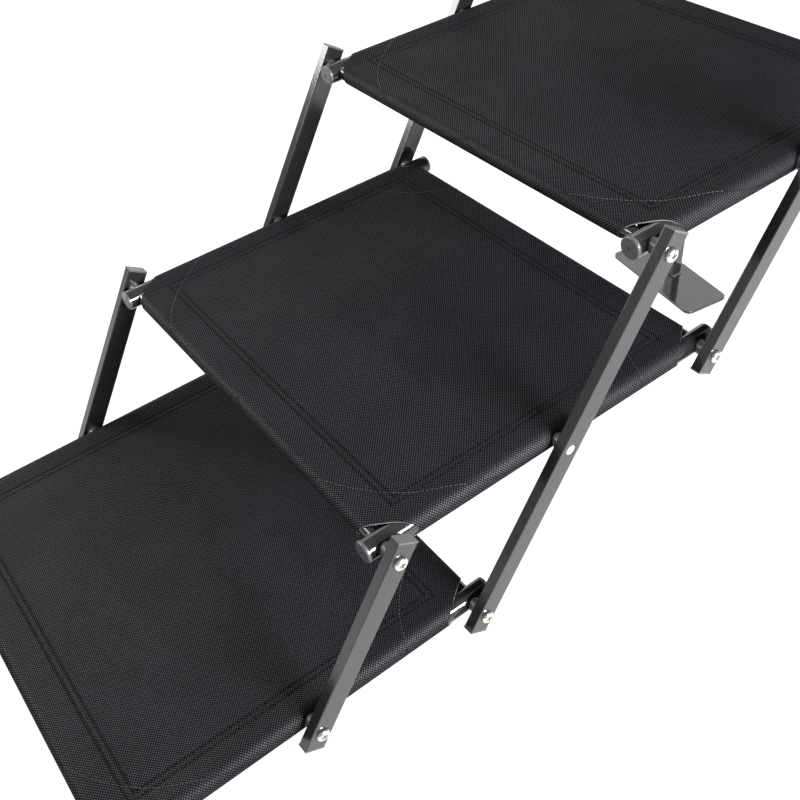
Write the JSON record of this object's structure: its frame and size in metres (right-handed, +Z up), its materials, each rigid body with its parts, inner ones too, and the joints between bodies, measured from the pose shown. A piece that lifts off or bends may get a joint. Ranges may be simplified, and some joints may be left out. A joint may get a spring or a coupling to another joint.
{
  "type": "folding pet stairs",
  "caption": "Folding pet stairs: fabric treads on tube frames joined by side link bars, with a hinged support leg on a swivelling foot plate.",
  "frame": {"origin": "on the floor, halfway along the whole length and halfway between the two sides", "axes": "+Y the way the stairs climb, +Z up, +X across to the right-hand side for someone climbing"},
  "size_m": [0.4652, 1.1686, 0.48],
  "materials": {
    "frame_tube": "gloss black",
    "link_bar": "gloss black",
    "plastic_cap": "satin black moulded plastic",
    "spacer": "satin black nylon",
    "insert": "turned steel",
    "screw": "nickel-plated steel",
    "tread_fabric": "black woven mesh cloth",
    "foot_plate": "gloss dark grey",
    "rubber_foot": "matt black"
  },
  "bodies": {
    "step_1": {"step_1_left_rail": "frame_tube", "step_1_right_rail": "frame_tube", "step_1_rail_caps": "plastic_cap", "step_1_front_crossbar": "frame_tube", "step_1_rear_crossbar": "frame_tube", "step_1_crossbar_inserts": "insert", "step_1_tread": "tread_fabric", "step_1_spacers": "spacer", "step_1_pivot_screws": "screw", "step_1_crossbar_screws": "screw", "front_feet": "rubber_foot"},
    "step_2": {"step_2_left_rail": "frame_tube", "step_2_right_rail": "frame_tube", "step_2_rail_caps": "plastic_cap", "step_2_front_crossbar": "frame_tube", "step_2_rear_crossbar": "frame_tube", "step_2_crossbar_inserts": "insert", "step_2_tread": "tread_fabric", "step_2_spacers": "spacer", "step_2_pivot_screws": "screw", "step_2_middle_bolts": "screw"},
    "step_3": {"step_3_left_rail": "frame_tube", "step_3_right_rail": "frame_tube", "step_3_rail_caps": "plastic_cap", "step_3_front_crossbar": "frame_tube", "step_3_rear_crossbar": "frame_tube", "step_3_crossbar_inserts": "insert", "step_3_tread": "tread_fabric", "step_3_spacers": "spacer", "step_3_pivot_screws": "screw", "step_3_middle_bolts": "screw", "leg_bracket": "frame_tube", "leg_hinge_bolt": "screw"},
    "step_4": {"step_4_left_rail": "frame_tube", "step_4_right_rail": "frame_tube", "step_4_rail_caps": "plastic_cap", "step_4_front_crossbar": "frame_tube", "step_4_rear_crossbar": "frame_tube", "step_4_crossbar_inserts": "insert", "step_4_tread": "tread_fabric", "step_4_spacers": "spacer", "step_4_pivot_screws": "screw", "step_4_crossbar_screws": "screw"},
    "link_1": {"link_1_left": "link_bar", "link_1_right": "link_bar", "link_1_plugs": "plastic_cap"},
    "link_2": {"link_2_left": "link_bar", "link_2_right": "link_bar", "link_2_plugs": "plastic_cap"},
    "link_3": {"link_3_left": "link_bar", "link_3_right": "link_bar", "link_3_plugs": "plastic_cap"},
    "link_4": {"link_4_left": "link_bar", "link_4_right": "link_bar", "link_4_plugs": "plastic_cap"},
    "leg": {"leg_post": "frame_tube", "leg_plug": "plastic_cap", "foot_bolt": "screw"},
    "foot": {"foot_plate": "foot_plate"}
  },
  "joints": [
    {"name": "fold", "type": "hinge", "parent": "step_1", "child": "link_1", "pos_m": [0, -0.39604, 0.02107], "axis": [1, 0, 0], "range_deg": [0, 110]},
    {"name": "step_2_level", "type": "hinge", "parent": "link_1", "child": "step_2", "pos_m": [0, -0.30515, 0.1671], "axis": [1, 0, 0], "range_deg": [-110, 0]},
    {"name": "link_2_turn", "type": "hinge", "parent": "step_2", "child": "link_2", "pos_m": [0, -0.13315, 0.1671], "axis": [1, 0, 0], "range_deg": [0, 110]},
    {"name": "step_3_level", "type": "hinge", "parent": "link_2", "child": "step_3", "pos_m": [0, -0.04225, 0.31312], "axis": [1, 0, 0], "range_deg": [-110, 0]},
    {"name": "link_3_turn", "type": "hinge", "parent": "step_3", "child": "link_3", "pos_m": [0, 0.12975, 0.31312], "axis": [1, 0, 0], "range_deg": [0, 110]},
    {"name": "step_4_level", "type": "hinge", "parent": "link_3", "child": "step_4", "pos_m": [0, 0.22064, 0.45915], "axis": [1, 0, 0], "range_deg": [-110, 0]},
    {"name": "link_4_turn", "type": "hinge", "parent": "step_4", "child": "link_4", "pos_m": [0, 0.39264, 0.45915], "axis": [1, 0, 0], "range_deg": [0, 110]},
    {"name": "leg_swing", "type": "hinge", "parent": "step_3", "child": "leg", "pos_m": [-0.012, 0.28575, 0.29962], "axis": [1, 0, 0], "range_deg": [0, 88]},
    {"name": "foot_swivel", "type": "hinge", "parent": "leg", "child": "foot", "pos_m": [-0.012, 0.28575, 0.002], "axis": [0, 0, 1], "continuous": true}
  ],
  "couplings": [
    {"joint": "step_2_level", "follows": "fold", "ratio": -1},
    {"joint": "link_2_turn", "follows": "fold", "ratio": 1},
    {"joint": "step_3_level", "follows": "fold", "ratio": -1},
    {"joint": "link_3_turn", "follows": "fold", "ratio": 1},
    {"joint": "step_4_level", "follows": "fold", "ratio": -1},
    {"joint": "link_4_turn", "follows": "fold", "ratio": 1},
    {"joint": "leg_swing", "follows": "fold", "ratio": 0.8}
  ]
}
